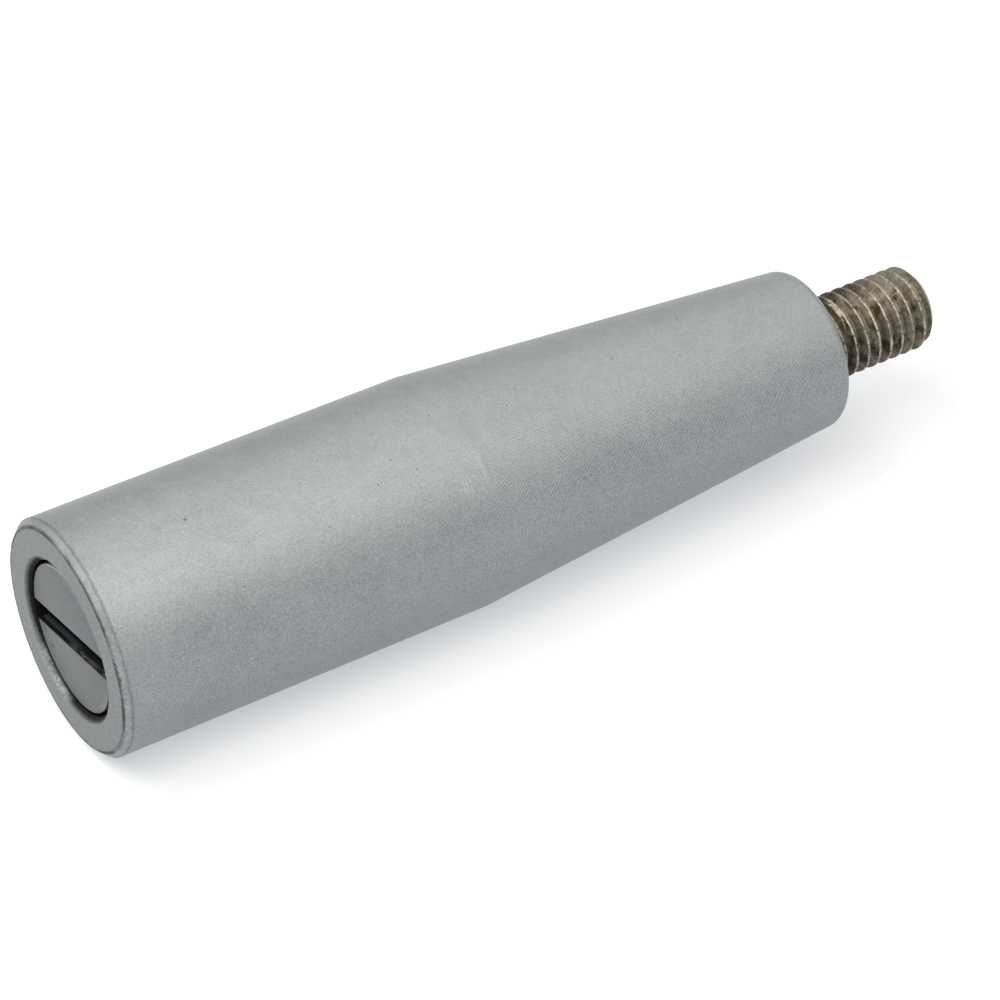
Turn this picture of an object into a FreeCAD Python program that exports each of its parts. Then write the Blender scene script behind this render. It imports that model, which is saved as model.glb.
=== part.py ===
import FreeCAD, Part
import Sketcher
import os

# A revolving machine handle: a turned sleeve that spins on a slotted shoulder screw.
# It stands on the sleeve's big end. The axis is +Z and the threaded stud points up.

# Driving dimensions in millimetres.
driving_sizes = {
    "sleeve_length": 75,
    "sleeve_diameter": 21.3,
    "straight_length": 36.2,
    "small_end_diameter": 14.8,
    "small_end_rounding": 1,
    "big_end_chamfer": 0.6,
    "mouth_bevel": 0.5,
    "bore_lead": 0.6,
    "bore_exit_chamfer": 0.4,
    "head_diameter": 13.3,
    "head_height": 4.2,
    "head_recess": 0.43,
    "head_rim_chamfer": 0.15,
    "head_clearance": 0.35,
    "slot_width": 2.05,
    "slot_depth": 2,
    "shank_diameter": 10,
    "under_head_fillet": 0.4,
    "running_clearance": 0.06,
    "end_play": 0.15,
    "shoulder_stand_off": 0.2,
    "shoulder_chamfer": 0.3,
    "stud_diameter": 8,
    "stud_length": 12,
    "stud_tip_chamfer": 1,
    "ring_height": 14,
    "ring_thickness": 1,
    "ring_width": 1.2,
    "ring_gap": 3,
    "ring_side_clearance": 0.06,
    "ring_seat_clearance": 0.04,
    "ring_squeeze_room": 0.15,
}

# Radii and heights that follow from them, as formulas on the sheet.
sleeve_radius = "Sizes.sleeve_diameter / 2"
small_radius = "Sizes.small_end_diameter / 2"
head_radius = "Sizes.head_diameter / 2"
shank_radius = "Sizes.shank_diameter / 2"
stud_radius = "Sizes.stud_diameter / 2"
bore_radius = f"{shank_radius} + Sizes.running_clearance"
counterbore_radius = f"{head_radius} + Sizes.head_clearance"
head_seat = "Sizes.head_recess + Sizes.head_height"
counterbore_floor = f"{head_seat} + Sizes.end_play"
shoulder = "Sizes.sleeve_length + Sizes.shoulder_stand_off"
stud_end = f"{shoulder} + Sizes.stud_length"

# The ring lies across the running gap, half in the sleeve and half in the shank.
gap_radius = f"{shank_radius} + Sizes.running_clearance / 2"
ring_inside = f"{gap_radius} - Sizes.ring_width / 2"
ring_outside = f"{gap_radius} + Sizes.ring_width / 2"
ring_low = "Sizes.ring_height - Sizes.ring_thickness / 2"
ring_high = "Sizes.ring_height + Sizes.ring_thickness / 2"
ring_groove_low = f"{ring_low} - Sizes.ring_side_clearance"
ring_groove_high = f"{ring_high} + Sizes.ring_side_clearance"
sleeve_groove_radius = f"{ring_outside} + Sizes.ring_seat_clearance"
shank_groove_radius = f"{shank_radius} - Sizes.ring_width - Sizes.ring_squeeze_room"
ring_sweep = f"360 deg - 2 * asin(Sizes.ring_gap / 2 / ({gap_radius}))"

axis = "0"
base = "0"
tolerance = 1e-4

doc = FreeCAD.newDocument("revolving_handle")


def add_sheet():
    sheet = doc.addObject("Spreadsheet::Sheet", "Sizes")
    for row, (alias, size) in enumerate(driving_sizes.items(), start=1):
        sheet.set(f"A{row}", alias)
        sheet.set(f"B{row}", str(size))
        sheet.setAlias(f"B{row}", alias)
    doc.recompute()


def value(formula):
    """The number that a formula on the sheet gives now."""
    return float(doc.getObject("Sizes").evalExpression(formula))


def add_body(name):
    body = doc.addObject("PartDesign::Body", name)
    body.Label = name
    body.Placement = FreeCAD.Placement()
    return body


def add_sketch(body, name, role):
    """A sketch on the body's own origin plane."""
    plane = next(item for item in body.Origin.OriginFeatures if item.Role == role)
    sketch = body.newObject("Sketcher::SketchObject", name)
    sketch.AttachmentSupport = [(plane, "")]
    sketch.MapMode = "FlatFace"
    return sketch


def bind(sketch, kind, corner, formula):
    """Hold a corner at a signed distance from the sketch's origin."""
    origin = (-1, 1)
    number = sketch.addConstraint(
        Sketcher.Constraint(kind, *origin, corner, 1, value(formula)))
    sketch.setExpression(f"Constraints[{number}]", formula)


def draw_outline(sketch, corners):
    """A closed outline of straight lines whose corners follow the sheet."""
    points = [FreeCAD.Vector(value(across), value(along), 0) for across, along in corners]
    count = len(points)
    for index in range(count):
        sketch.addGeometry(Part.LineSegment(points[index], points[(index + 1) % count]))
    for index in range(count):
        sketch.addConstraint(
            Sketcher.Constraint("Coincident", index, 2, (index + 1) % count, 1))
    for index, (across, along) in enumerate(corners):
        bind(sketch, "DistanceX", index, across)
        bind(sketch, "DistanceY", index, along)


def turn(body, kind, name, corners):
    """Add or remove what a half section sweeps about the handle's axis."""
    sketch = add_sketch(body, f"{name}_section", "XZ_Plane")
    draw_outline(sketch, corners)
    volume_before = body.Shape.Volume if body.Tip else 0
    feature = body.newObject(f"PartDesign::{kind}", name)
    feature.Profile = sketch
    feature.ReferenceAxis = (sketch, ["V_Axis"])
    doc.recompute()
    check_cut(kind == "Groove", volume_before, body)
    return feature


def check_cut(removes, volume_before, body):
    if removes and body.Shape.Volume > volume_before - tolerance:
        raise RuntimeError(f"a cut in {body.Label} removes nothing")


def round_edge(feature, radius, height):
    """The name of the round edge of this radius at this height."""
    for number, edge in enumerate(feature.Shape.Edges, start=1):
        curve = edge.Curve
        if not isinstance(curve, Part.Circle):
            continue
        level = abs(curve.Center.z - value(height)) < tolerance
        if level and abs(curve.Radius - value(radius)) < tolerance:
            return f"Edge{number}"
    raise RuntimeError(f"no round edge at {radius}, {height}")


def dress(body, kind, name, size, places):
    """Chamfer or fillet the round edges at these radii and heights."""
    base_feature = body.Tip
    edges = [round_edge(base_feature, radius, height) for radius, height in places]
    feature = body.newObject(f"PartDesign::{kind}", name)
    feature.Base = (base_feature, edges)
    feature.setExpression("Size" if kind == "Chamfer" else "Radius", size)
    doc.recompute()
    return feature


def make_sleeve():
    """The grip: straight from the big end, then tapered, with a stepped bore right through."""
    body = add_body("grip_sleeve")
    turn(body, "Revolution", "turned_outside", [
        (axis, base),
        (sleeve_radius, base),
        (sleeve_radius, "Sizes.straight_length"),
        (small_radius, "Sizes.sleeve_length"),
        (axis, "Sizes.sleeve_length"),
    ])
    turn(body, "Groove", "stepped_bore", [
        (axis, base),
        (counterbore_radius, base),
        (counterbore_radius, counterbore_floor),
        (bore_radius, counterbore_floor),
        (bore_radius, "Sizes.sleeve_length"),
        (axis, "Sizes.sleeve_length"),
    ])
    turn(body, "Groove", "ring_groove", [
        (axis, ring_groove_low),
        (sleeve_groove_radius, ring_groove_low),
        (sleeve_groove_radius, ring_groove_high),
        (axis, ring_groove_high),
    ])
    dress(body, "Chamfer", "big_end_edge", "Sizes.big_end_chamfer",
          [(sleeve_radius, base)])
    dress(body, "Chamfer", "mouth_edge", "Sizes.mouth_bevel",
          [(counterbore_radius, base)])
    dress(body, "Chamfer", "bore_lead_in", "Sizes.bore_lead",
          [(bore_radius, counterbore_floor)])
    dress(body, "Chamfer", "bore_exit", "Sizes.bore_exit_chamfer",
          [(bore_radius, "Sizes.sleeve_length")])
    dress(body, "Fillet", "small_end_corner", "Sizes.small_end_rounding",
          [(small_radius, "Sizes.sleeve_length")])
    return body


def make_spindle():
    """The shoulder screw: slotted head, bearing shank, seating shoulder and stud."""
    body = add_body("spindle")
    turn(body, "Revolution", "turned_outside", [
        (axis, "Sizes.head_recess"),
        (head_radius, "Sizes.head_recess"),
        (head_radius, head_seat),
        (shank_radius, head_seat),
        (shank_radius, shoulder),
        (stud_radius, shoulder),
        (stud_radius, stud_end),
        (axis, stud_end),
    ])
    turn(body, "Groove", "ring_groove", [
        (shank_groove_radius, ring_groove_low),
        (head_radius, ring_groove_low),
        (head_radius, ring_groove_high),
        (shank_groove_radius, ring_groove_high),
    ])
    dress(body, "Fillet", "neck", "Sizes.under_head_fillet",
          [(shank_radius, head_seat)])
    dress(body, "Chamfer", "head_rim", "Sizes.head_rim_chamfer",
          [(head_radius, "Sizes.head_recess"), (head_radius, head_seat)])
    dress(body, "Chamfer", "shoulder_edge", "Sizes.shoulder_chamfer",
          [(shank_radius, shoulder)])
    dress(body, "Chamfer", "stud_tip", "Sizes.stud_tip_chamfer",
          [(stud_radius, stud_end)])
    cut_slot(body)
    return body


def cut_slot(body):
    """A driver slot across the whole head, sawn in from the outer face."""
    half_width = "Sizes.slot_width / 2"
    reach = f"{head_radius} + Sizes.head_clearance"
    sketch = add_sketch(body, "slot_outline", "XY_Plane")
    draw_outline(sketch, [
        (f"-({reach})", f"-({half_width})"),
        (reach, f"-({half_width})"),
        (reach, half_width),
        (f"-({reach})", half_width),
    ])
    volume_before = body.Shape.Volume
    slot = body.newObject("PartDesign::Pocket", "driver_slot")
    slot.Profile = sketch
    slot.Reversed = True
    slot.setExpression("Length", "Sizes.head_recess + Sizes.slot_depth")
    doc.recompute()
    check_cut(True, volume_before, body)


def make_snap_ring():
    """An open ring of flat spring wire that keeps the sleeve on the spindle."""
    body = add_body("snap_ring")
    ring = turn(body, "Revolution", "bent_wire", [
        (ring_inside, ring_low),
        (ring_outside, ring_low),
        (ring_outside, ring_high),
        (ring_inside, ring_high),
    ])
    ring.Midplane = True
    ring.setExpression("Angle", ring_sweep)
    doc.recompute()
    return body


def check_document():
    """Stop if any feature failed or was left out of date."""
    for item in doc.Objects:
        if "Invalid" in item.State or "Error" in item.State:
            raise RuntimeError(f"{item.Name} failed: {item.State}")


def write_piece(body):
    shape = body.Shape
    if shape.isNull() or not shape.isValid() or len(shape.Solids) != 1:
        raise RuntimeError(f"{body.Label} isn't one valid solid")
    shape.exportStep(f"parts/{body.Label}.step")
    print(body.Label, "volume", round(shape.Volume, 1), "mm3, height",
          round(shape.BoundBox.ZMin, 2), "to", round(shape.BoundBox.ZMax, 2))


def main():
    add_sheet()
    pieces = [make_sleeve(), make_spindle(), make_snap_ring()]
    doc.recompute()
    check_document()
    os.makedirs("parts", exist_ok=True)
    for piece in pieces:
        write_piece(piece)


main()
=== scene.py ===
import bpy
import math
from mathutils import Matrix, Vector


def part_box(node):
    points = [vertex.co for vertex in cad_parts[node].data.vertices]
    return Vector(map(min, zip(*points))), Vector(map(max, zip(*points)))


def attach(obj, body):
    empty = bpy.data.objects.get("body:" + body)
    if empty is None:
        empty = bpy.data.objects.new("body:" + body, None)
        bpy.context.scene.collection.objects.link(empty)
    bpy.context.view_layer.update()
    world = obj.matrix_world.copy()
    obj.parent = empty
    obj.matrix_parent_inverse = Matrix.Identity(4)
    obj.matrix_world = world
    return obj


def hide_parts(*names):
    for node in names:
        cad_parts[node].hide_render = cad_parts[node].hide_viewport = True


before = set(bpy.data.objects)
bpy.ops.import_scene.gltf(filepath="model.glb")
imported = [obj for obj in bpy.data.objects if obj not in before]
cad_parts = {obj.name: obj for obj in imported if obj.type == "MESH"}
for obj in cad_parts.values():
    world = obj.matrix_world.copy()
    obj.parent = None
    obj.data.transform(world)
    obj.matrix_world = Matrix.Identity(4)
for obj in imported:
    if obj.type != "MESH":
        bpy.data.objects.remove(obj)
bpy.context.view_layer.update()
bpy.ops.object.select_all(action="DESELECT")
mm = 0.001

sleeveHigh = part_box("grip_sleeve")[1]
spindleLow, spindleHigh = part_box("spindle")
sleeveRadius = sleeveHigh.x
sleeveLength = sleeveHigh.z


# Selecting and finishing, used by every piece
def only(piece):
    bpy.ops.object.select_all(action="DESELECT")
    piece.select_set(True)
    bpy.context.view_layer.objects.active = piece


def applyModifiers(piece):
    only(piece)
    for modifier in list(piece.modifiers):
        bpy.ops.object.modifier_apply(modifier=modifier.name)


def placeInMesh(piece):
    only(piece)
    bpy.ops.object.transform_apply(location=True, rotation=True, scale=True)


def pickVertices(piece, wanted):
    # edit mode reads the selection flags that are set here
    bpy.ops.mesh.select_mode(type="VERT")
    bpy.ops.mesh.select_all(action="DESELECT")
    bpy.ops.object.mode_set(mode="OBJECT")
    for vertex in piece.data.vertices:
        vertex.select = wanted(vertex.co)
    bpy.ops.object.mode_set(mode="EDIT")


def joinShape(piece, other, operation):
    modifier = piece.modifiers.new(operation.lower(), "BOOLEAN")
    modifier.operation = operation
    modifier.solver = "EXACT"
    modifier.object = other
    applyModifiers(piece)
    bpy.data.objects.remove(other)


# Camera, at the photograph's viewing angle
cameraView = {
    "place": (268.53 * mm, -172.11 * mm, -101.67 * mm),
    "turn": (140.297, -57.875, 11.314),   # degrees
    "lens": 144.56,
    "sensor": 36,
    "clip": (0.01, 10),
    "lookDown": 39.7,   # how far the camera looks down on the table, in degrees
}


def makeCamera():
    bpy.ops.object.camera_add(location=cameraView["place"],
                              rotation=[math.radians(angle) for angle in cameraView["turn"]])
    camera = bpy.context.object
    camera.data.lens = cameraView["lens"]
    camera.data.sensor_width = cameraView["sensor"]
    camera.data.clip_start, camera.data.clip_end = cameraView["clip"]
    bpy.context.scene.camera = camera
    print("camera", [round(value, 4) for value in camera.location])
    return camera


camera = makeCamera()
bpy.context.view_layer.update()

# The handle lies on a table in the photograph, so table directions come from the camera
rightWay, upWay, backWay = camera.matrix_world.to_3x3().transposed()
lookDown = math.radians(cameraView["lookDown"])
tableUp = upWay * math.cos(lookDown) + backWay * math.sin(lookDown)
tableFront = backWay * math.cos(lookDown) - upWay * math.sin(lookDown)
gripMiddle = Vector((0, 0, sleeveLength * 0.5))


def onTable(right, front, up):
    return gripMiddle + (rightWay * right + tableFront * front + tableUp * up)


# Table and light
studio = {
    "tableSize": 0.9,
    "tableGap": 0.02 * mm,
    "tableColour": (0.465, 0.475, 0.50),
    "tableGlow": (0.435, 0.445, 0.46),   # brings the table to white for the eye and for reflections
    "room": (1.0, 1.0, 1.0),
    "roomLight": 0.48,
    "lampSize": 0.45,
    "lampColour": (1.0, 0.970, 0.850),
    "lamps": [
        # name, right, front, up, watts
        ("frontLamp", 0.0, 0.35, 0.60, 2.65),
        ("leftLamp", -0.30, 0.25, 0.60, 1.60),
        ("overLamp", -0.35, 0.0, 0.60, 2.10),
        ("rightLamp", 0.50, 0.20, 0.50, 0.50),
        ("farLamp", 0.35, -0.15, 0.60, 0.44),
        ("backLamp", 0.08, -0.45, 0.50, 0.48),
    ],
}


def addNode(tree, kind, **settings):
    made = tree.nodes.new(kind)
    for name, value in settings.items():
        setattr(made, name, value)
    return made


def feed(tree, socket, source):
    # a socket takes another node's output or a plain value
    if isinstance(source, bpy.types.NodeSocket):
        tree.links.new(source, socket)
    else:
        socket.default_value = source


def maths(tree, operation, first, second=0.5, third=0.5):
    made = addNode(tree, "ShaderNodeMath", operation=operation)
    for socket, source in zip(made.inputs, (first, second, third)):
        feed(tree, socket, source)
    return made.outputs[0]


def seenWhite(tree):
    # one for the camera's rays and for those that metal or glass sends on
    path = addNode(tree, "ShaderNodeLightPath")
    seen = maths(tree, "MAXIMUM", path.outputs["Is Camera Ray"], path.outputs["Is Glossy Ray"])
    return maths(tree, "MAXIMUM", seen, path.outputs["Is Transmission Ray"])


def makeTable():
    bpy.ops.mesh.primitive_plane_add(size=studio["tableSize"])
    table = bpy.context.object
    table.name = "table"
    table.rotation_mode = "QUATERNION"
    table.rotation_quaternion = tableUp.to_track_quat("Z", "Y")
    table.location = gripMiddle - tableUp * (sleeveRadius + studio["tableGap"])
    material = bpy.data.materials.new("whiteTable")
    material.use_nodes = True
    tree = material.node_tree
    tree.nodes.clear()
    diffuse = addNode(tree, "ShaderNodeBsdfDiffuse")
    diffuse.inputs["Color"].default_value = (*studio["tableColour"], 1)
    glow = addNode(tree, "ShaderNodeEmission")
    glow.inputs["Color"].default_value = (*studio["tableGlow"], 1)
    feed(tree, glow.inputs["Strength"], seenWhite(tree))
    both = addNode(tree, "ShaderNodeAddShader")
    tree.links.new(diffuse.outputs[0], both.inputs[0])
    tree.links.new(glow.outputs[0], both.inputs[1])
    # seen from below the table isn't there
    clear = addNode(tree, "ShaderNodeBsdfTransparent")
    side = addNode(tree, "ShaderNodeNewGeometry")
    mix = addNode(tree, "ShaderNodeMixShader")
    sources = (side.outputs["Backfacing"], both.outputs[0], clear.outputs[0])
    for socket, source in zip(mix.inputs, sources):
        tree.links.new(source, socket)
    output = addNode(tree, "ShaderNodeOutputMaterial")
    tree.links.new(mix.outputs[0], output.inputs["Surface"])
    table.data.materials.append(material)


def makeRoom():
    world = bpy.data.worlds.new("room")
    bpy.context.scene.world = world
    world.use_nodes = True
    tree = world.node_tree
    background = tree.nodes["Background"]
    background.inputs["Color"].default_value = (*studio["room"], 1)
    level = maths(tree, "MULTIPLY_ADD", seenWhite(tree), 1 - studio["roomLight"], studio["roomLight"])
    feed(tree, background.inputs["Strength"], level)


def makeLamps():
    for name, right, front, up, watts in studio["lamps"]:
        place = onTable(right, front, up)
        bpy.ops.object.light_add(type="AREA", location=place)
        lamp = bpy.context.object
        lamp.name = name
        lamp.rotation_mode = "QUATERNION"
        lamp.rotation_quaternion = (place - gripMiddle).to_track_quat("Z", "Y")
        lamp.data.shape = "SQUARE"
        lamp.data.size = studio["lampSize"]
        lamp.data.energy = watts
        lamp.data.color = studio["lampColour"]


makeTable()
makeRoom()
makeLamps()
bpy.context.scene.view_settings.view_transform = "Standard"
print("table, room and lamps are in place")


# The screw: slotted head, shank and threaded stud
screw = {
    "segments": 160,
    "headRadius": spindleHigh.x,
    "headFace": spindleLow.z,
    "headHeight": 4.2 * mm,
    "shankRadius": 5.0 * mm,
    "shoulder": 75.2 * mm,
    "ringHeight": 14.0 * mm,
    "ringGrooveRadius": 3.65 * mm,
    "ringGrooveWidth": 1.12 * mm,
    "step": 0.01 * mm,        # a square step is drawn with this little slope
    "roundEdge": 0.12 * mm,
    "sharpOver": 60,          # corners over this many degrees are rounded
    "smoothUnder": 35,        # and under this many degrees they shade as one surface
    "slotWidth": 2.05 * mm,
    "slotDepth": 2.0 * mm,
    "tip": spindleHigh.z,
    "tipLength": 0.92 * mm,   # from the full thread to the end
    "rimRadius": 3.22 * mm,
    "rimDrop": 0.2 * mm,      # the end is slightly domed inside the rim
    "endRadius": 2.85 * mm,
}
thread = {
    "crestRadius": 3.94 * mm,
    "pitch": 1.25 * mm,
    "flankSlope": 30,          # degrees from square to the axis
    "crestFlat": 0.19 * mm,
    "seamDepth": 0.035 * mm,   # rolling leaves a seam along the crest
    "rootFlat": 0.24 * mm,
    "roundCorner": 0.04 * mm,
    "ragged": 0.02 * mm,
    "crestHeight": 76.85 * mm,  # of a crest on the +X side
    "stepsPerTurn": 96,
    "merge": 0.001 * mm,
    "capReach": 0.4,           # how far past its ends the thread is closed, in pitches
    "seed": 7,
    "runOut": [(3.898 * mm, 74.9 * mm), (3.72 * mm, 76.3 * mm), (3.1 * mm, 78.2 * mm)],
    "studShare": 0.8,          # share of the crest's radius that the shoulder's face reaches in to
    "barMargin": 0.02 * mm,    # what the thread is cut to length with is this much thicker
    "barStart": 1.0 * mm,      # and starts this far under the shoulder
}
land = {
    # the first crest is flat and wide for part of a turn
    "radius": 3.89 * mm,
    "footRadius": 2.9 * mm,
    "width": 0.46 * mm,
    "fromAngle": 258,
    "toAngle": 330,
    "steps": 40,
    "sinks": [0.32, 0.22, 0.13, 0.06],   # shares of its length
    "sinkBy": 0.975,
}


def turnUp(segments, steps):
    # steps are (radius, height) pairs up the axis, from the first face to the last
    radius, height = steps[0]
    bpy.ops.mesh.primitive_circle_add(vertices=segments, radius=radius, fill_type="NGON",
                                      location=(0, 0, height))
    turned = bpy.context.object
    placeInMesh(turned)
    bpy.ops.object.mode_set(mode="EDIT")
    bpy.ops.mesh.select_all(action="SELECT")
    for nextRadius, nextHeight in steps[1:]:
        bpy.ops.mesh.extrude_region_move(
            TRANSFORM_OT_translate={"value": (0, 0, nextHeight - height)})
        share = nextRadius / radius
        bpy.ops.transform.resize(value=(share, share, 1), center_override=(0, 0, nextHeight))
        radius, height = nextRadius, nextHeight
    bpy.ops.mesh.select_all(action="SELECT")
    bpy.ops.mesh.normals_make_consistent(inside=False)
    bpy.ops.object.mode_set(mode="OBJECT")
    return turned


def roundEdges(piece, width, degrees, segments=2):
    bevel = piece.modifiers.new("roundedEdges", "BEVEL")
    bevel.width = width
    bevel.segments = segments
    bevel.limit_method = "ANGLE"
    bevel.angle_limit = math.radians(degrees)
    applyModifiers(piece)


def makeHeadAndShank():
    seat = screw["headFace"] + screw["headHeight"]
    shank, shoulder = screw["shankRadius"], screw["shoulder"]
    ringLow = screw["ringHeight"] - screw["ringGrooveWidth"] / 2
    ringHigh = screw["ringHeight"] + screw["ringGrooveWidth"] / 2
    groove, step = screw["ringGrooveRadius"], screw["step"]
    body = turnUp(screw["segments"], [
        (screw["headRadius"], screw["headFace"]),
        (screw["headRadius"], seat),
        (shank, seat + step),
        (shank, ringLow),
        (groove, ringLow + step),
        (groove, ringHigh - step),
        (shank, ringHigh),
        (shank, shoulder),
        (thread["crestRadius"] * thread["studShare"], shoulder),
    ])
    roundEdges(body, screw["roundEdge"], screw["sharpOver"])
    body.name = "spindle_screw"
    bpy.ops.mesh.primitive_cube_add(size=1, location=(0, 0, screw["headFace"]))
    saw = bpy.context.object
    saw.scale = (screw["headRadius"] * 3, screw["slotWidth"], screw["slotDepth"] * 2)
    placeInMesh(saw)
    roundEdges(saw, screw["roundEdge"], screw["sharpOver"])
    joinShape(body, saw, "DIFFERENCE")
    return body


def makeThread():
    # one pitch of the outline is drawn as a chain, its corners are rounded, and it is screwed up
    pitch, crest, flat = thread["pitch"], thread["crestRadius"], thread["crestFlat"]
    rootHalf = thread["rootFlat"] / 2
    flank = (pitch - flat) / 2 - rootHalf
    root = crest - flank / math.tan(math.radians(thread["flankSlope"]))
    turnsBelow = math.ceil((thread["crestHeight"] - screw["shoulder"]) / pitch) + 1
    bottom = thread["crestHeight"] - pitch * (turnsBelow + 0.5)
    turns = math.ceil((screw["tip"] - bottom) / pitch) + 1
    chain = [
        (root, 0),
        (root, rootHalf),
        (crest, rootHalf + flank),
        (crest - thread["seamDepth"], pitch / 2),
        (crest, rootHalf + flank + flat),
        (root, pitch - rootHalf),
        (root, pitch),
    ]
    stud = drawChain("stud", [(radius, bottom + height) for radius, height in chain], False)
    bpy.ops.object.mode_set(mode="EDIT")
    bpy.ops.mesh.select_all(action="SELECT")
    bpy.ops.mesh.bevel(affect="VERTICES", offset=thread["roundCorner"], segments=2)
    bpy.ops.object.mode_set(mode="OBJECT")
    screwUp = stud.modifiers.new("screwedUp", "SCREW")
    screwUp.screw_offset = pitch
    screwUp.iterations = turns
    screwUp.steps = screwUp.render_steps = thread["stepsPerTurn"]
    applyModifiers(stud)
    bpy.ops.object.mode_set(mode="EDIT")
    bpy.ops.mesh.select_all(action="SELECT")
    bpy.ops.mesh.remove_doubles(threshold=thread["merge"])
    closeEnd(stud, bottom - pitch * thread["capReach"], False)
    closeEnd(stud, bottom + pitch * (turns + 1 + thread["capReach"]), True)
    roughenCrest(stud, crest - thread["seamDepth"] * 1.2)
    bpy.ops.mesh.select_all(action="SELECT")
    bpy.ops.mesh.normals_make_consistent(inside=False)
    bpy.ops.object.mode_set(mode="OBJECT")
    # near the shoulder the thread isn't at full depth
    joinShape(stud, turnUp(screw["segments"], thread["runOut"]), "UNION")
    joinShape(stud, makeLand(), "UNION")
    # cut to length, with a chamfered tip
    bar = thread["crestRadius"] + thread["barMargin"]
    joinShape(stud, turnUp(screw["segments"], [
        (bar, screw["shoulder"] - thread["barStart"]),
        (bar, screw["tip"] - screw["tipLength"]),
        (screw["rimRadius"], screw["tip"] - screw["rimDrop"]),
        (screw["endRadius"], screw["tip"]),
    ]), "INTERSECT")
    return stud


def drawChain(name, chain, closed):
    # chain is a list of (radius, height) pairs, drawn on the +X side
    edges = [(index, index + 1) for index in range(len(chain) - 1)]
    if closed:
        edges.append((len(chain) - 1, 0))
    outline = bpy.data.meshes.new(name + "Outline")
    outline.from_pydata([(radius, 0, height) for radius, height in chain], edges, [])
    drawn = bpy.data.objects.new(name, outline)
    bpy.context.scene.collection.objects.link(drawn)
    only(drawn)
    return drawn


def roughenCrest(piece, fromRadius):
    pickVertices(piece, lambda place: math.hypot(place.x, place.y) > fromRadius)
    bpy.ops.transform.vertex_random(offset=thread["ragged"], seed=thread["seed"])


def makeLand():
    turned = land["toAngle"] - land["fromAngle"]
    pitch = thread["pitch"]
    top = thread["crestHeight"] + pitch * land["fromAngle"] / 360
    slope = (land["radius"] - land["footRadius"]) * math.tan(math.radians(thread["flankSlope"]))
    foot, crest, width = land["footRadius"], land["radius"], land["width"]
    ridge = drawChain("land", [
        (foot, top - width - slope),
        (crest, top - width),
        (crest, top - width / 2),
        (crest, top),
        (foot, top),
    ], True)
    sweep = ridge.modifiers.new("swept", "SCREW")
    sweep.angle = math.radians(turned)
    sweep.screw_offset = pitch * turned / 360
    sweep.steps = sweep.render_steps = land["steps"]
    applyModifiers(ridge)
    bpy.ops.object.mode_set(mode="EDIT")
    bpy.ops.mesh.select_all(action="SELECT")
    bpy.ops.mesh.remove_doubles(threshold=thread["merge"])
    bpy.ops.mesh.fill_holes(sides=0)
    roughenCrest(ridge, crest - 0.01 * mm)
    # both ends sink into the flank
    for share in land["sinks"]:
        low, high = share * turned, (1 - share) * turned
        pickVertices(ridge, lambda place: not low < math.degrees(math.atan2(place.y, place.x)) < high)
        bpy.ops.transform.resize(value=(land["sinkBy"], land["sinkBy"], 1), center_override=(0, 0, top))
    bpy.ops.mesh.select_all(action="SELECT")
    bpy.ops.mesh.normals_make_consistent(inside=False)
    bpy.ops.object.mode_set(mode="OBJECT")
    ridge.rotation_euler.z = math.radians(land["fromAngle"])
    placeInMesh(ridge)
    return ridge


def closeEnd(stud, height, atTop):
    # the open edge is drawn in to one point on the axis
    middle = (screw["shoulder"] + screw["tip"]) / 2
    bpy.ops.mesh.select_mode(type="VERT")
    bpy.ops.mesh.select_all(action="DESELECT")
    bpy.ops.mesh.select_non_manifold(extend=False, use_wire=False, use_boundary=True,
                                     use_multi_face=False, use_non_contiguous=False)
    bpy.ops.object.mode_set(mode="OBJECT")
    vertices = stud.data.vertices
    for vertex in vertices:
        if (vertex.co.z > middle) != atTop:
            vertex.select = False
    for edge in stud.data.edges:
        edge.select = edge.select and all(vertices[index].select for index in edge.vertices)
    for face in stud.data.polygons:
        face.select = False
    bpy.ops.object.mode_set(mode="EDIT")
    bpy.ops.mesh.select_mode(type="EDGE")
    bpy.ops.mesh.extrude_edges_move(TRANSFORM_OT_translate={"value": (0, 0, 0)})
    bpy.ops.transform.resize(value=(0, 0, 0), center_override=(0, 0, height))
    bpy.ops.mesh.merge(type="COLLAPSE")


def smooth(piece, degrees):
    only(piece)
    bpy.ops.object.shade_smooth_by_angle(angle=math.radians(degrees))


spindleScrew = makeHeadAndShank()
joinShape(spindleScrew, makeThread(), "UNION")
smooth(spindleScrew, screw["smoothUnder"])
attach(spindleScrew, "spindle")
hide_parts("spindle")
print("spindle screw", len(spindleScrew.data.polygons), "faces")


# Patterns that the finishes are mixed from. Lengths are real ones
def noise(tree, where, size, detail=2.0, roughness=0.5, distortion=0.0):
    made = addNode(tree, "ShaderNodeTexNoise")
    feed(tree, made.inputs["Vector"], where)
    made.inputs["Scale"].default_value = 1 / size
    made.inputs["Detail"].default_value = detail
    made.inputs["Roughness"].default_value = roughness
    made.inputs["Distortion"].default_value = distortion
    return made.outputs[0]


def stretched(tree, where, scale, shift=(0, 0, 0)):
    made = addNode(tree, "ShaderNodeMapping")
    feed(tree, made.inputs["Vector"], where)
    made.inputs["Scale"].default_value = scale
    made.inputs["Location"].default_value = shift
    return made.outputs[0]


def between(tree, source, low, high, toLow=0.0, toHigh=1.0):
    # smooth step from toLow to toHigh
    made = addNode(tree, "ShaderNodeMapRange", interpolation_type="SMOOTHSTEP")
    for socket, value in zip(made.inputs, (source, low, high, toLow, toHigh)):
        feed(tree, socket, value)
    return made.outputs[0]


def blend(tree, amount, first, second):
    made = addNode(tree, "ShaderNodeMix", data_type="RGBA")
    feed(tree, made.inputs[0], amount)
    feed(tree, made.inputs[6], first)
    feed(tree, made.inputs[7], second)
    return made.outputs[2]


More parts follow.
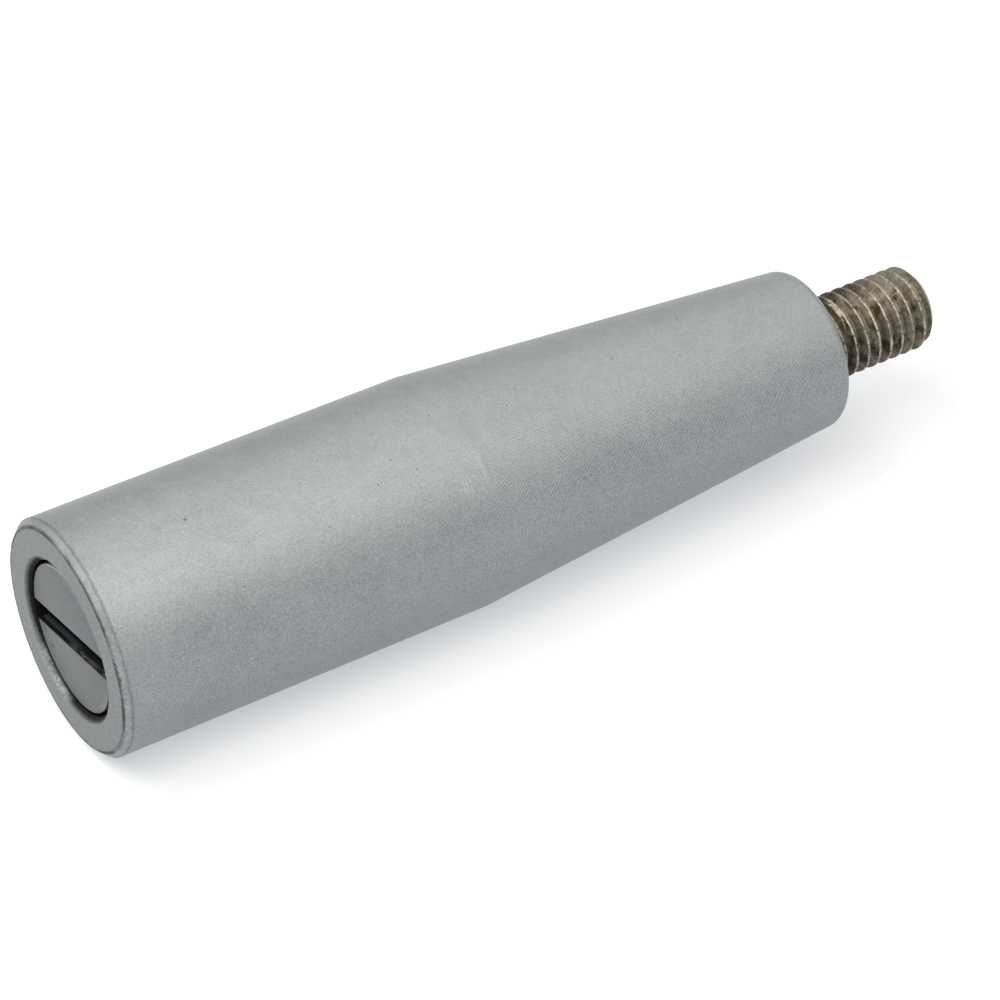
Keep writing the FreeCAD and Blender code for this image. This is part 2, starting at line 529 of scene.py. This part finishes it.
def shade(tree, colour, amount):
    # darker under 1, lighter over 1
    made = addNode(tree, "ShaderNodeVectorMath", operation="SCALE")
    feed(tree, made.inputs[0], colour)
    feed(tree, made.inputs["Scale"], amount)
    return made.outputs[0]


def pits(tree, where, spacing, radius, share):
    # round specks, one in each cell that is drawn
    cells = addNode(tree, "ShaderNodeTexVoronoi")
    feed(tree, cells.inputs["Vector"], where)
    cells.inputs["Scale"].default_value = 1 / spacing
    drawn = maths(tree, "LESS_THAN", split(tree, cells.outputs["Color"])[0], share)
    spot = between(tree, cells.outputs["Distance"], radius / spacing * 0.5, radius / spacing, 1, 0)
    return maths(tree, "MULTIPLY", spot, drawn)


def split(tree, vector):
    made = addNode(tree, "ShaderNodeSeparateXYZ")
    feed(tree, made.inputs[0], vector)
    return made.outputs


def fromAxis(tree, x, y):
    return maths(tree, "SQRT", maths(tree, "ADD", maths(tree, "MULTIPLY", x, x),
                                     maths(tree, "MULTIPLY", y, y)))


def facing(tree, x, y, radius, degrees, low, high):
    # one on the side at this angle about the axis, fading out from high to low
    angle = math.radians(degrees)
    reach = maths(tree, "ADD", maths(tree, "MULTIPLY", x, math.cos(angle)),
                  maths(tree, "MULTIPLY", y, math.sin(angle)))
    return between(tree, maths(tree, "DIVIDE", reach, radius), low, high)


def allOf(tree, first, *others):
    result = first
    for other in others:
        result = maths(tree, "MULTIPLY", result, other)
    return result


def ringLine(tree, radius, height, atRadius, atHeight, width, wobble):
    # a line along a turned edge
    across = maths(tree, "SUBTRACT", radius, atRadius)
    along = maths(tree, "SUBTRACT", height, atHeight)
    far = maths(tree, "ADD", fromAxis(tree, across, along), wobble)
    return between(tree, far, width * 0.4, width, 1, 0)


def newFinish(name, roughness):
    material = bpy.data.materials.new(name)
    material.use_nodes = True
    tree = material.node_tree
    shader = tree.nodes["Principled BSDF"]
    shader.inputs["Metallic"].default_value = 1.0
    feed(tree, shader.inputs["Roughness"], roughness)
    return material, tree, shader


def total(tree, start, *parts):
    result = start
    for part in parts:
        result = maths(tree, "ADD", result, part)
    return result


def swing(tree, source, size):
    # a pattern turned into a change up and down by size
    return maths(tree, "MULTIPLY", maths(tree, "SUBTRACT", source, 0.5), size)


def roughen(tree, shader, height, depth):
    bump = addNode(tree, "ShaderNodeBump")
    bump.inputs["Distance"].default_value = depth
    bump.inputs["Strength"].default_value = 1.0
    feed(tree, bump.inputs["Height"], height)
    tree.links.new(bump.outputs[0], shader.inputs["Normal"])


def near(tree, where, place, inner, outer):
    # one within the inner distance of a place, fading out to the outer one
    made = addNode(tree, "ShaderNodeVectorMath", operation="DISTANCE")
    feed(tree, made.inputs[0], where)
    made.inputs[1].default_value = place
    return between(tree, made.outputs["Value"], inner, outer, 1, 0)


def onSleeve(degrees, height):
    angle = math.radians(degrees)
    return (sleeveRadius * math.cos(angle), sleeveRadius * math.sin(angle), height)


# Blasted steel of the sleeve
sleeveFinish = {
    "steel": (0.261, 0.276, 0.286),
    "rust": (0.16, 0.10, 0.07),
    "paintedBoreShade": (0.016, 0.016, 0.016),
    "bevel": (0.125, 0.130, 0.130),
    "bevelDull": (0.160, 0.168, 0.172),
    "bevelBrown": (0.110, 0.100, 0.080),
    "bevelRubbed": (0.265, 0.282, 0.285),
    "dirtAndPaintedLight": (0.42, 0.40, 0.34),
    "roughness": 0.50,
    "relief": 0.012 * mm,
    "taperStart": 36.2 * mm,
    "chamfer": 0.6 * mm,
    "mouth": 7.5 * mm,
    "mouthDepth": 6 * mm,
    # patterns: size and swing
    "fine": (0.10 * mm, 0.38),
    "grain": (0.20 * mm, 0.50),
    "cloud": (1.0 * mm, 0.22),
    "smudge": (7.0 * mm, 0.19),
    "uneven": (0.5 * mm, 0.20 * mm),
    "jagged": (0.32 * mm, 0.34 * mm),
    "feed": (0.144 * mm, 0.58),      # turning marks on the taper: spacing and strength
    # specks: spacing, radius and share of the cells
    "pits": (1.2 * mm, 0.11 * mm, 0.25),
    "sparkles": (1.5 * mm, 0.08 * mm, 0.35),
    "rustPits": (7 * mm, 0.2 * mm, 0.30),
    # widths of the lines along turned edges
    "startLine": 0.20 * mm,
    "faceLine": 0.27 * mm,
    "sideLine": 0.20 * mm,
    "rubLine": 0.66 * mm,
    # sides: angle about the axis, and the cosines at which they have faded out and are full
    "roughSide": (20, 0.30, 0.95),
    "markGlintSide": (326, 0.85, 0.945),
    "wornSide": (324, 0.984, 0.998),
    "highlightSide": (300, 0.75, 0.97),
    "dullSide": (138, 0.80, 0.96),
    "brownSides": [(66, 0.87, 0.97), (250, 0.90, 0.98)],
    "rubbedSide": (130, 0.88, 0.985),
    "crescentSide": (266, 0.90, 0.985),
    "wornPatch": onSleeve(330, 34.2 * mm),
    "darkPatch": onSleeve(303, 36.3 * mm),
    # how much lighter or darker each makes the steel
    "pitted": -0.45,
    "sparkling": 0.35,
    "worn": 0.14,
    "dirty": -0.12,
    "faceDirt": -0.55,
    "sideDirt": -0.26,
    "dullEnd": -0.215,
    "scuffed": 0.16,
    "chamferHighlight": 0.16,
    "mottledChamfer": 0.40,
}


def makeSleeveFinish():
    finish = sleeveFinish
    material, tree, shader = newFinish("blastedSteel", finish["roughness"])
    where = addNode(tree, "ShaderNodeTexCoord").outputs["Object"]
    x, y, height = split(tree, where)
    radius = fromAxis(tree, x, y)
    fine = noise(tree, where, finish["fine"][0], 1, 0.5)
    grain = noise(tree, where, finish["grain"][0], 2, 0.6)
    cloud = noise(tree, where, finish["cloud"][0], 3, 0.55)
    smudge = noise(tree, where, finish["smudge"][0], 3, 0.5, 0.6)
    # the taper was turned, and the tool left a groove at each turn
    spacing, strength = finish["feed"]
    groove = maths(tree, "SINE", maths(tree, "MULTIPLY", height, 2 * math.pi / spacing))
    onTaper = between(tree, height, finish["taperStart"] - 0.05 * mm, finish["taperStart"] + 0.1 * mm)
    # most of it shows on one side: the marks are painted stronger there, as painted glint where the light
    # catches them
    markGlint = maths(tree, "MULTIPLY_ADD", facing(tree, x, y, radius, *finish["markGlintSide"]), 0.65, 0.35)
    groove = allOf(tree, groove, onTaper, markGlint, between(tree, cloud, 0.25, 0.6, 0.6, 1))
    speck = pits(tree, where, *finish["pits"])
    sparkle = pits(tree, stretched(tree, where, (1, 1, 1), (0.004, 0.002, 0.001)), *finish["sparkles"])
    # one side is rougher than the rest
    coarse = maths(tree, "MULTIPLY_ADD", facing(tree, x, y, radius, *finish["roughSide"]), 0.75, 0.80)
    brightness = total(tree, 1.0,
                       maths(tree, "MULTIPLY", swing(tree, fine, finish["fine"][1]), coarse),
                       maths(tree, "MULTIPLY", swing(tree, grain, finish["grain"][1]), coarse),
                       swing(tree, cloud, finish["cloud"][1]),
                       swing(tree, smudge, finish["smudge"][1]),
                       maths(tree, "MULTIPLY", groove, strength),
                       maths(tree, "MULTIPLY", speck, finish["pitted"]),
                       maths(tree, "MULTIPLY", sparkle, finish["sparkling"]))
    # where the taper starts, the edge is worn bright on one side and dirty on the other
    uneven = swing(tree, noise(tree, where, finish["uneven"][0], 2), finish["uneven"][1])
    start = ringLine(tree, radius, height, sleeveRadius, finish["taperStart"], finish["startLine"], uneven)
    worn = total(tree, maths(tree, "MULTIPLY", start, facing(tree, x, y, radius, *finish["wornSide"])),
                 maths(tree, "MULTIPLY", near(tree, where, finish["wornPatch"], 0.2 * mm, 1.1 * mm),
                       between(tree, grain, 0.40, 0.62)))
    dirty = maths(tree, "MULTIPLY", near(tree, where, finish["darkPatch"], 0.3 * mm, 2.2 * mm),
                  between(tree, grain, 0.38, 0.62))
    # turned edges hold dirt in an uneven line
    jagged = swing(tree, noise(tree, where, finish["jagged"][0], 3, 0.6), finish["jagged"][1])
    patchy = noise(tree, where, 3.0 * mm, 1)
    faceRadius = sleeveRadius - finish["chamfer"]
    faceEdge = maths(tree, "MULTIPLY", between(tree, patchy, 0.35, 0.62, 0.45, 1),
                     ringLine(tree, radius, height, faceRadius, 0, finish["faceLine"], jagged))
    sideEdge = ringLine(tree, radius, height, sleeveRadius, finish["chamfer"], finish["sideLine"], jagged)
    # the flat end is duller than the sides, and its chamfer is painted lighter on one side as a highlight
    onEnd = between(tree, height, 0.02 * mm, 0.06 * mm, 1, 0)
    scuff = between(tree, noise(tree, stretched(tree, where, (1, 2.5, 1)), 0.9 * mm, 3, 0.6), 0.50, 0.70)
    onChamfer = allOf(tree, between(tree, height, finish["chamfer"] - 0.05 * mm, finish["chamfer"], 1, 0),
                      between(tree, radius, faceRadius, sleeveRadius - finish["chamfer"] * 0.9))
    lit = facing(tree, x, y, radius, *finish["highlightSide"])
    brightness = total(tree, brightness,
                       maths(tree, "MULTIPLY", worn, finish["worn"]),
                       maths(tree, "MULTIPLY", dirty, finish["dirty"]),
                       maths(tree, "MULTIPLY", faceEdge, finish["faceDirt"]),
                       maths(tree, "MULTIPLY", sideEdge, finish["sideDirt"]),
                       maths(tree, "MULTIPLY", onEnd, finish["dullEnd"]),
                       allOf(tree, onEnd, scuff, finish["scuffed"]),
                       allOf(tree, onChamfer, lit, finish["chamferHighlight"]),
                       maths(tree, "MULTIPLY", onChamfer, swing(tree, cloud, finish["mottledChamfer"])))
    colour = shade(tree, finish["steel"], brightness)
    rustSpot = pits(tree, stretched(tree, where, (1, 1, 1), (0.003, 0.001, 0.002)), *finish["rustPits"])
    colour = blend(tree, rustSpot, colour, (*finish["rust"], 1))
    # the bevelled mouth is painted dark as shade, brown at the top and bottom, and rubbed bright at the
    # lower left
    rim = maths(tree, "ADD", radius, maths(tree, "MULTIPLY", jagged, 0.25))
    onBevel = maths(tree, "MULTIPLY", maths(tree, "LESS_THAN", height, finish["mouthDepth"]),
                    between(tree, rim, finish["mouth"] - 0.13 * mm, finish["mouth"] + 0.02 * mm, 1, 0))
    dull = facing(tree, x, y, radius, *finish["dullSide"])
    atTop = facing(tree, x, y, radius, *finish["crescentSide"])
    bevel = blend(tree, dull, (*finish["bevel"], 1), (*finish["bevelDull"], 1))
    for side in finish["brownSides"]:
        bevel = blend(tree, facing(tree, x, y, radius, *side), bevel, (*finish["bevelBrown"], 1))
    bevel = shade(tree, bevel, total(tree, 1.0, swing(tree, grain, 0.9), swing(tree, cloud, 0.8)))
    colour = blend(tree, onBevel, colour, bevel)
    # the bore behind it is painted black as shade, further in at the dull side and at the top
    depth = total(tree, height, maths(tree, "MULTIPLY", jagged, 0.4),
                  maths(tree, "MULTIPLY", dull, -0.06 * mm), maths(tree, "MULTIPLY", atTop, -2.0 * mm))
    inBore = maths(tree, "MULTIPLY", onBevel, between(tree, depth, 0.08 * mm, 0.36 * mm))
    colour = blend(tree, inBore, colour, (*finish["paintedBoreShade"], 1))
    # dried dirt fills the gap round the head at the top, painted light to lift the gap's shade
    dirtAndPaintedLight = allOf(tree, onBevel, atTop, between(tree, height, 0.24 * mm, 0.44 * mm),
                     between(tree, height, 1.2 * mm, 2.2 * mm, 1, 0))
    colour = blend(tree, dirtAndPaintedLight, colour, (*finish["dirtAndPaintedLight"], 1))
    blotch = noise(tree, where, 0.45 * mm, 2)
    rubbed = shade(tree, finish["bevelRubbed"],
                   total(tree, 1.0, swing(tree, grain, 1.8), swing(tree, blotch, 1.0)))
    rub = allOf(tree, facing(tree, x, y, radius, *finish["rubbedSide"]),
                between(tree, cloud, 0.32, 0.60, 0.3, 0.85),
                ringLine(tree, radius, height, finish["mouth"] - 0.10 * mm, 0.08 * mm, finish["rubLine"],
                         swing(tree, cloud, 0.2 * mm)))
    colour = blend(tree, rub, colour, rubbed)
    tree.links.new(colour, shader.inputs["Base Color"])
    feed(tree, shader.inputs["Roughness"],
         total(tree, finish["roughness"], swing(tree, cloud, 0.12), swing(tree, smudge, 0.10),
               maths(tree, "MULTIPLY", faceEdge, 0.15), maths(tree, "MULTIPLY", inBore, 0.2)))
    relief = total(tree, grain, maths(tree, "MULTIPLY", fine, 0.5), maths(tree, "MULTIPLY", speck, -1.5),
                   maths(tree, "MULTIPLY", faceEdge, -1.2), maths(tree, "MULTIPLY", groove, 0.12))
    roughen(tree, shader, relief, finish["relief"])
    return material


# Screw: blasted head, slot painted dark as shade, brown thread with pale crests
screwFinish = {
    "head": (0.163, 0.172, 0.180),
    "slot": (0.013, 0.015, 0.017),
    "slotBand": (0.062, 0.083, 0.092),
    "streak": (0.19, 0.182, 0.165),
    "stain": (0.25, 0.232, 0.19),
    "dirtAndPaintedLight": (0.36, 0.34, 0.29),
    "roughness": 0.52,
    "relief": 0.012 * mm,
    "grain": (0.13 * mm, 1.3),           # size and swing
    "cloud": (1.4 * mm, 0.30),
    "ragged": (0.5 * mm, 0.35 * mm),
    "specks": (1.5 * mm, 0.14 * mm, 0.30),
    "speckled": -0.5,
    "dents": [(-5.39 * mm, 1.41 * mm), (-4.39 * mm, 2.80 * mm)],
    "dented": -0.6,
    "highlightSide": (305, 0.75, 0.95),     # sides are given as for the sleeve
    "bright": 0.14,
    "stainedSide": (38, 0.955, 0.995),
    "crescentSide": (268, 0.90, 0.98),
}
threadFinish = {
    "flank": (0.127, 0.108, 0.080),
    "pale": (0.222, 0.199, 0.160),
    "dark": (0.040, 0.028, 0.018),
    "crest": (0.42, 0.38, 0.31),
    "tip": (0.235, 0.214, 0.172),
    "roughness": 0.5,
    "relief": 0.02 * mm,
    "grain": 0.11 * mm,                  # sizes of the patterns
    "chips": 0.45 * mm,
    "patch": 1.3 * mm,
    "stain": 1.6 * mm,
    "flecks": (0.34 * mm, 0.10 * mm, 0.35),
    "paleSide": (266, 0.72, 0.95),
    "darkSide": (236, 0.72, 0.96),
    "runSide": (18, 0.955, 0.99),
    "sleeveShadeSide": (50, 0.70, 0.95),
    "crestGlintSide": (0, 0.15, 0.80),
    "landSide": (292, 0.86, 0.97),
    "crestWidth": 0.05 * mm,
    "rimLine": 0.13 * mm,
}


def makeHeadFinish():
    finish = screwFinish
    material, tree, shader = newFinish("blastedHead", finish["roughness"])
    where = addNode(tree, "ShaderNodeTexCoord").outputs["Object"]
    x, y, height = split(tree, where)
    radius = fromAxis(tree, x, y)
    face = screw["headFace"]
    grain = noise(tree, where, finish["grain"][0], 2, 0.6)
    cloud = noise(tree, where, finish["cloud"][0], 3, 0.55)
    speck = pits(tree, where, *finish["specks"])
    dents = [near(tree, where, (*dent, face), 0.12 * mm, 0.30 * mm) for dent in finish["dents"]]
    level = total(tree, 1.0,
                  swing(tree, grain, finish["grain"][1]),
                  swing(tree, cloud, finish["cloud"][1]),
                  maths(tree, "MULTIPLY", speck, finish["speckled"]),
                  # the head's edge is painted lighter on one side, a painted highlight
                  allOf(tree, between(tree, radius, 5.6 * mm, 6.2 * mm),
                        facing(tree, x, y, radius, *finish["highlightSide"]), finish["bright"]),
                  *[maths(tree, "MULTIPLY", dent, finish["dented"]) for dent in dents])
    colour = shade(tree, finish["head"], level)
    stained = allOf(tree, facing(tree, x, y, radius, *finish["stainedSide"]),
                    between(tree, radius, 5.8 * mm, 6.4 * mm), between(tree, cloud, 0.30, 0.60, 0.4, 0.9))
    colour = blend(tree, stained, colour, (*finish["stain"], 1))
    # dried dirt in the gap beside the head's upper edge, painted light to lift its shade
    dirtAndPaintedLight = allOf(tree, facing(tree, x, y, radius, *finish["crescentSide"]),
                     between(tree, radius, 6.46 * mm, 6.56 * mm),
                     between(tree, height, 2.0 * mm, 3.0 * mm, 1, 0))
    colour = blend(tree, dirtAndPaintedLight, colour, (*finish["dirtAndPaintedLight"], 1))
    inSlot = allOf(tree, maths(tree, "LESS_THAN", maths(tree, "ABSOLUTE", y), screw["slotWidth"] * 0.51),
                   between(tree, height, face + 0.02 * mm, face + 0.10 * mm),
                   maths(tree, "LESS_THAN", height, face + screw["slotDepth"] * 1.05))
    # the slot's wall is painted near-black as shade, with a duller band deeper in and painted highlight
    # streaks near its edge
    ragged = swing(tree, noise(tree, where, finish["ragged"][0], 3, 0.6), finish["ragged"][1])
    depth = maths(tree, "ADD", maths(tree, "SUBTRACT", height, face), ragged)
    bandMask = allOf(tree, between(tree, depth, 0.36 * mm, 0.52 * mm),
                     between(tree, depth, 0.80 * mm, 1.05 * mm, 1, 0),
                     between(tree, x, -1.2 * mm, 1.4 * mm, 0.95, 0.10))
    highlightStreak = noise(tree, stretched(tree, where, (1 / (1.3 * mm), 1, 1 / (0.13 * mm))), 1, 4, 0.65)
    highlightStreakMask = allOf(tree, between(tree, highlightStreak, 0.42, 0.60, 0, 0.85),
                       between(tree, x, -1.8 * mm, 0.4 * mm),
                       between(tree, depth, 0.42 * mm, 0.60 * mm, 1, 0))
    slotShade = blend(tree, bandMask, (*finish["slot"], 1), (*finish["slotBand"], 1))
    slotShade = blend(tree, highlightStreakMask, slotShade, (*finish["streak"], 1))
    colour = blend(tree, inSlot, colour, slotShade)
    tree.links.new(colour, shader.inputs["Base Color"])
    feed(tree, shader.inputs["Roughness"],
         total(tree, finish["roughness"], swing(tree, cloud, 0.12), maths(tree, "MULTIPLY", inSlot, 0.15)))
    relief = total(tree, grain, maths(tree, "MULTIPLY", speck, -1.5),
                   *[maths(tree, "MULTIPLY", dent, -3.0) for dent in dents])
    roughen(tree, shader, relief, finish["relief"])
    return material


def makeThreadFinish():
    finish = threadFinish
    material, tree, shader = newFinish("brownThread", finish["roughness"])
    where = addNode(tree, "ShaderNodeTexCoord").outputs["Object"]
    x, y, height = split(tree, where)
    radius = fromAxis(tree, x, y)
    shoulder = screw["shoulder"]
    grain = noise(tree, where, finish["grain"], 2, 0.6)
    chips = noise(tree, where, finish["chips"], 3, 0.65)
    patch = noise(tree, where, finish["patch"], 3, 0.6, 0.5)
    elsewhere = stretched(tree, where, (1, 1, 1), (0.01, 0.02, 0.03))
    stain = noise(tree, elsewhere, finish["stain"], 2, 0.6)
    colour = blend(tree, between(tree, patch, 0.42, 0.68), (*finish["flank"], 1), (*finish["pale"], 1))
    colour = blend(tree, between(tree, stain, 0.50, 0.66, 0, 0.85), colour, (*finish["dark"], 1))
    # flecks, a pale upper side, and dark at the top of the first turns
    fleck = pits(tree, where, *finish["flecks"])
    upper = allOf(tree, facing(tree, x, y, radius, *finish["paleSide"]),
                  between(tree, patch, 0.34, 0.56, 0.25, 0.85),
                  between(tree, height, shoulder + 6.6 * mm, shoulder + 7.8 * mm),
                  between(tree, height, shoulder + 9.6 * mm, shoulder + 10.6 * mm, 1, 0))
    first = allOf(tree, facing(tree, x, y, radius, *finish["darkSide"]),
                  between(tree, chips, 0.34, 0.54, 0.45, 0.9),
                  between(tree, height, shoulder + 6.4 * mm, shoulder + 7.6 * mm, 1, 0))
    colour = blend(tree, first, colour, (*finish["dark"], 1))
    colour = blend(tree, maths(tree, "MAXIMUM", upper, maths(tree, "MULTIPLY", fleck, 0.75)),
                   colour, (*finish["tip"], 1))
    # dark runs low on the near side, and painted shade where the stud leaves the sleeve
    run = allOf(tree, facing(tree, x, y, radius, *finish["runSide"]), between(tree, chips, 0.40, 0.54),
                between(tree, stain, 0.40, 0.52))
    shadeAtSleeve = allOf(tree, facing(tree, x, y, radius, *finish["sleeveShadeSide"]),
                  between(tree, height, shoulder + 2.4 * mm, shoulder + 4.4 * mm, 1, 0),
                  between(tree, chips, 0.30, 0.52, 0.45, 1))
    colour = blend(tree, maths(tree, "MAXIMUM", run, shadeAtSleeve), colour, (*finish["dark"], 1))
    # the end turns are paler
    endTurns = between(tree, height, screw["tip"] - 1.7 * mm, screw["tip"] - 1.0 * mm, 0, 0.8)
    atTip = maths(tree, "MULTIPLY", endTurns, between(tree, chips, 0.34, 0.56, 0.25, 1))
    colour = blend(tree, atTip, colour, (*finish["tip"], 1))
    # crests are rubbed pale and painted brighter on one side as glint, in a broken line that is painted
    # faint near the shoulder as shade
    edge = total(tree, radius, swing(tree, patch, 0.06 * mm), swing(tree, chips, 0.15 * mm))
    crest = between(tree, edge, thread["crestRadius"] - finish["crestWidth"],
                    thread["crestRadius"] - 0.01 * mm, 0, 0.95)
    crestGlint = maths(tree, "MULTIPLY_ADD", facing(tree, x, y, radius, *finish["crestGlintSide"]), 0.6, 0.4)
    crest = allOf(tree, crest, crestGlint, between(tree, stain, 0.36, 0.52, 0.45, 1),
                  between(tree, height, shoulder + 0.9 * mm, shoulder + 2.0 * mm, 0.3, 1))
    flat = allOf(tree, facing(tree, x, y, radius, *finish["landSide"]),
                 between(tree, height, shoulder + 2.95 * mm, shoulder + 3.05 * mm, 1, 0),
                 between(tree, radius, land["radius"] - 0.09 * mm, land["radius"] - 0.04 * mm, 0, 0.70),
                 between(tree, chips, 0.34, 0.56, 0.25, 1))
    rim = ringLine(tree, radius, height, screw["rimRadius"], screw["tip"] - screw["rimDrop"],
                   finish["rimLine"], swing(tree, chips, 0.10 * mm))
    pale = maths(tree, "MAXIMUM", maths(tree, "MAXIMUM", crest, flat), maths(tree, "MULTIPLY", rim, 0.95))
    colour = blend(tree, pale, colour, (*finish["crest"], 1))
    # the thread is painted darker near the shoulder, as shade from the sleeve
    shadeNearShoulder = between(tree, height, shoulder + 0.5 * mm, shoulder + 2.3 * mm, 0.28, 1)
    level = maths(tree, "MULTIPLY", total(tree, 1.0, swing(tree, grain, 1.7), swing(tree, chips, 0.5)),
                  shadeNearShoulder)
    feed(tree, shader.inputs["Roughness"], total(tree, finish["roughness"], swing(tree, patch, 0.25)))
    tree.links.new(shade(tree, colour, level), shader.inputs["Base Color"])
    roughen(tree, shader, total(tree, grain, chips), finish["relief"])
    return material


# The snap ring is drawn spring wire, hidden inside
ringFinish = {
    "steel": (0.30, 0.30, 0.31),
    "roughness": 0.38,
    "relief": 0.01 * mm,
    "drawnLines": (2 * mm, 0.08 * mm),   # length and spacing
}


def makeRingFinish():
    finish = ringFinish
    material, tree, shader = newFinish("springSteel", finish["roughness"])
    where = addNode(tree, "ShaderNodeTexCoord").outputs["Object"]
    length, spacing = finish["drawnLines"]
    drawn = noise(tree, stretched(tree, where, (1 / length, 1 / length, 1 / spacing)), 1, 2, 0.6)
    tree.links.new(shade(tree, finish["steel"], total(tree, 1.0, swing(tree, drawn, 0.6))),
                   shader.inputs["Base Color"])
    feed(tree, shader.inputs["Roughness"], total(tree, finish["roughness"], swing(tree, drawn, 0.15)))
    roughen(tree, shader, drawn, finish["relief"])
    return material


def dress(piece, *finishes):
    piece.data.materials.clear()
    for finish in finishes:
        piece.data.materials.append(finish)


dress(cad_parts["grip_sleeve"], makeSleeveFinish())
dress(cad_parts["snap_ring"], makeRingFinish())
dress(spindleScrew, makeHeadFinish(), makeThreadFinish())
for face in spindleScrew.data.polygons:
    if face.center.z > screw["shoulder"] + 0.01 * mm:
        face.material_index = 1
print("finishes are on")
